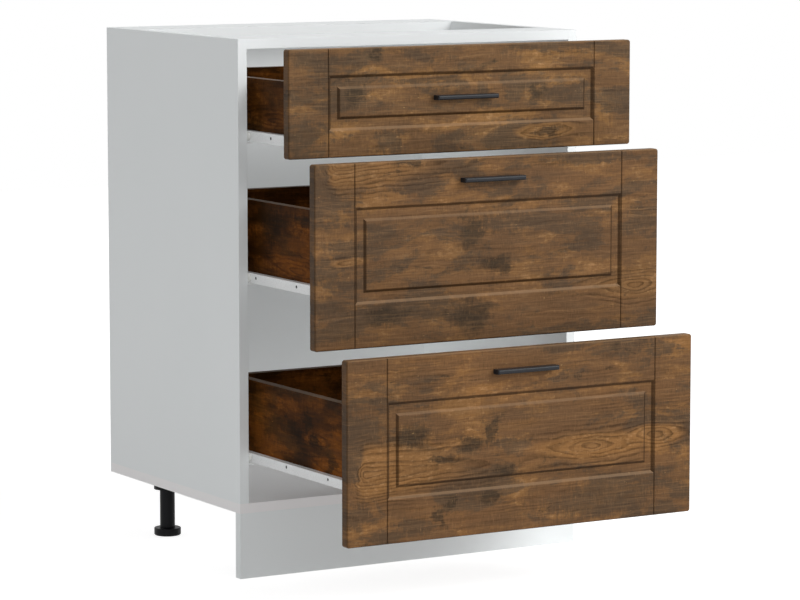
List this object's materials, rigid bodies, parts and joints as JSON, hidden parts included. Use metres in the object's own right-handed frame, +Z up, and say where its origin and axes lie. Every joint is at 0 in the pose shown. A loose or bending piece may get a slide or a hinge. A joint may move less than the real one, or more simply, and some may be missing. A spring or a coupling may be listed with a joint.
{
  "type": "kitchen cabinet",
  "caption": "White kitchen base cabinet with wood-look framed drawer fronts, black bar handles, roller runners, adjustable legs and a plinth; open top for a worktop.",
  "frame": {"origin": "on the floor, below the middle of the whole box with each drawer as far open as in the picture", "axes": "+X to the right as seen from the front, +Y to the back (wall), +Z up; drawers open towards -Y"},
  "size_m": [0.6, 0.7836, 0.815],
  "materials": {
    "white_board": "melamine-faced chipboard, white, fine matt grain, banded edges",
    "white_hardboard": "lacquered hardboard, white, smooth",
    "oak_decor": "foiled fibreboard, aged brown oak decor, horizontal grain, satin",
    "dark_oak_decor": "melamine-faced chipboard, dark oak decor, satin",
    "black_handle": "black powder coat, satin",
    "runner_steel": "white epoxy coat, semi-gloss",
    "nylon": "white nylon",
    "zinc_steel": "zinc plated",
    "black_plastic": "black moulded plastic"
  },
  "bodies": {
    "carcass": {"base_panel": "white_board", "left_side_panel": "white_board", "right_side_panel": "white_board", "front_stretcher": "white_board", "rear_stretcher": "white_board", "back_panel": "white_hardboard", "plinth_board": "white_board", "plinth_clips": "black_plastic", "leg_sockets": "black_plastic", "leg_tubes": "black_plastic", "base_screws": "zinc_steel", "carcass_cams": "zinc_steel", "cabinet_profile_screws": "zinc_steel", "upper_left_cabinet_profile": "runner_steel", "upper_right_cabinet_profile": "runner_steel", "middle_left_cabinet_profile": "runner_steel", "middle_right_cabinet_profile": "runner_steel", "lower_left_cabinet_profile": "runner_steel", "lower_right_cabinet_profile": "runner_steel"},
    "upper_drawer": {"upper_front": "oak_decor", "upper_left_drawer_side": "dark_oak_decor", "upper_right_drawer_side": "dark_oak_decor", "upper_drawer_back": "dark_oak_decor", "upper_drawer_bottom": "dark_oak_decor", "upper_handle": "black_handle", "upper_handle_screws": "zinc_steel", "upper_left_drawer_profile": "runner_steel", "upper_right_drawer_profile": "runner_steel", "upper_drawer_fittings": "zinc_steel"},
    "middle_drawer": {"middle_front": "oak_decor", "middle_left_drawer_side": "dark_oak_decor", "middle_right_drawer_side": "dark_oak_decor", "middle_drawer_back": "dark_oak_decor", "middle_drawer_bottom": "dark_oak_decor", "middle_handle": "black_handle", "middle_handle_screws": "zinc_steel", "middle_left_drawer_profile": "runner_steel", "middle_right_drawer_profile": "runner_steel", "middle_drawer_fittings": "zinc_steel"},
    "lower_drawer": {"lower_front": "oak_decor", "lower_left_drawer_side": "dark_oak_decor", "lower_right_drawer_side": "dark_oak_decor", "lower_drawer_back": "dark_oak_decor", "lower_drawer_bottom": "dark_oak_decor", "lower_handle": "black_handle", "lower_handle_screws": "zinc_steel", "lower_left_drawer_profile": "runner_steel", "lower_right_drawer_profile": "runner_steel", "lower_drawer_fittings": "zinc_steel"},
    "upper_cabinet_roller_pair": {"upper_cabinet_rollers": "nylon"},
    "upper_drawer_roller_pair": {"upper_drawer_rollers": "nylon"},
    "middle_cabinet_roller_pair": {"middle_cabinet_rollers": "nylon"},
    "middle_drawer_roller_pair": {"middle_drawer_rollers": "nylon"},
    "lower_cabinet_roller_pair": {"lower_cabinet_rollers": "nylon"},
    "lower_drawer_roller_pair": {"lower_drawer_rollers": "nylon"},
    "front_left_foot": {"front_left_foot": "black_plastic"},
    "front_right_foot": {"front_right_foot": "black_plastic"},
    "rear_left_foot": {"rear_left_foot": "black_plastic"},
    "rear_right_foot": {"rear_right_foot": "black_plastic"}
  },
  "joints": [
    {"name": "upper_drawer_slide", "type": "slide", "parent": "carcass", "child": "upper_drawer", "axis": [0, -1, 0], "range_m": [-0.1385, 0.173]},
    {"name": "middle_drawer_slide", "type": "slide", "parent": "carcass", "child": "middle_drawer", "axis": [0, -1, 0], "range_m": [-0.2155, 0.096]},
    {"name": "lower_drawer_slide", "type": "slide", "parent": "carcass", "child": "lower_drawer", "axis": [0, -1, 0], "range_m": [-0.3085, 0.003]},
    {"name": "upper_cabinet_rollers_spin", "type": "hinge", "parent": "carcass", "child": "upper_cabinet_roller_pair", "pos_m": [0, -0.03925, 0.6695], "axis": [1, 0, 0], "continuous": true},
    {"name": "upper_drawer_rollers_spin", "type": "hinge", "parent": "upper_drawer", "child": "upper_drawer_roller_pair", "pos_m": [0, 0.19575, 0.6675], "axis": [1, 0, 0], "continuous": true},
    {"name": "middle_cabinet_rollers_spin", "type": "hinge", "parent": "carcass", "child": "middle_cabinet_roller_pair", "pos_m": [0, -0.03925, 0.4565], "axis": [1, 0, 0], "continuous": true},
    {"name": "middle_drawer_rollers_spin", "type": "hinge", "parent": "middle_drawer", "child": "middle_drawer_roller_pair", "pos_m": [0, 0.11875, 0.4545], "axis": [1, 0, 0], "continuous": true},
    {"name": "lower_cabinet_rollers_spin", "type": "hinge", "parent": "carcass", "child": "lower_cabinet_roller_pair", "pos_m": [0, -0.03925, 0.1835], "axis": [1, 0, 0], "continuous": true},
    {"name": "lower_drawer_rollers_spin", "type": "hinge", "parent": "lower_drawer", "child": "lower_drawer_roller_pair", "pos_m": [0, 0.02575, 0.1815], "axis": [1, 0, 0], "continuous": true},
    {"name": "front_left_foot_turn", "type": "hinge", "parent": "carcass", "child": "front_left_foot", "pos_m": [-0.23, 0.00875, 0.012], "axis": [0, 0, 1], "continuous": true},
    {"name": "front_right_foot_turn", "type": "hinge", "parent": "carcass", "child": "front_right_foot", "pos_m": [0.23, 0.00875, 0.012], "axis": [0, 0, 1], "continuous": true},
    {"name": "rear_left_foot_turn", "type": "hinge", "parent": "carcass", "child": "rear_left_foot", "pos_m": [-0.23, 0.32975, 0.012], "axis": [0, 0, 1], "continuous": true},
    {"name": "rear_right_foot_turn", "type": "hinge", "parent": "carcass", "child": "rear_right_foot", "pos_m": [0.23, 0.32975, 0.012], "axis": [0, 0, 1], "continuous": true}
  ],
  "couplings": [
    {"joint": "upper_cabinet_rollers_spin", "follows": "upper_drawer_slide", "rad_per_m": 142.86},
    {"joint": "upper_drawer_rollers_spin", "follows": "upper_drawer_slide", "rad_per_m": 142.86},
    {"joint": "middle_cabinet_rollers_spin", "follows": "middle_drawer_slide", "rad_per_m": 142.86},
    {"joint": "middle_drawer_rollers_spin", "follows": "middle_drawer_slide", "rad_per_m": 142.86},
    {"joint": "lower_cabinet_rollers_spin", "follows": "lower_drawer_slide", "rad_per_m": 142.86},
    {"joint": "lower_drawer_rollers_spin", "follows": "lower_drawer_slide", "rad_per_m": 142.86}
  ]
}
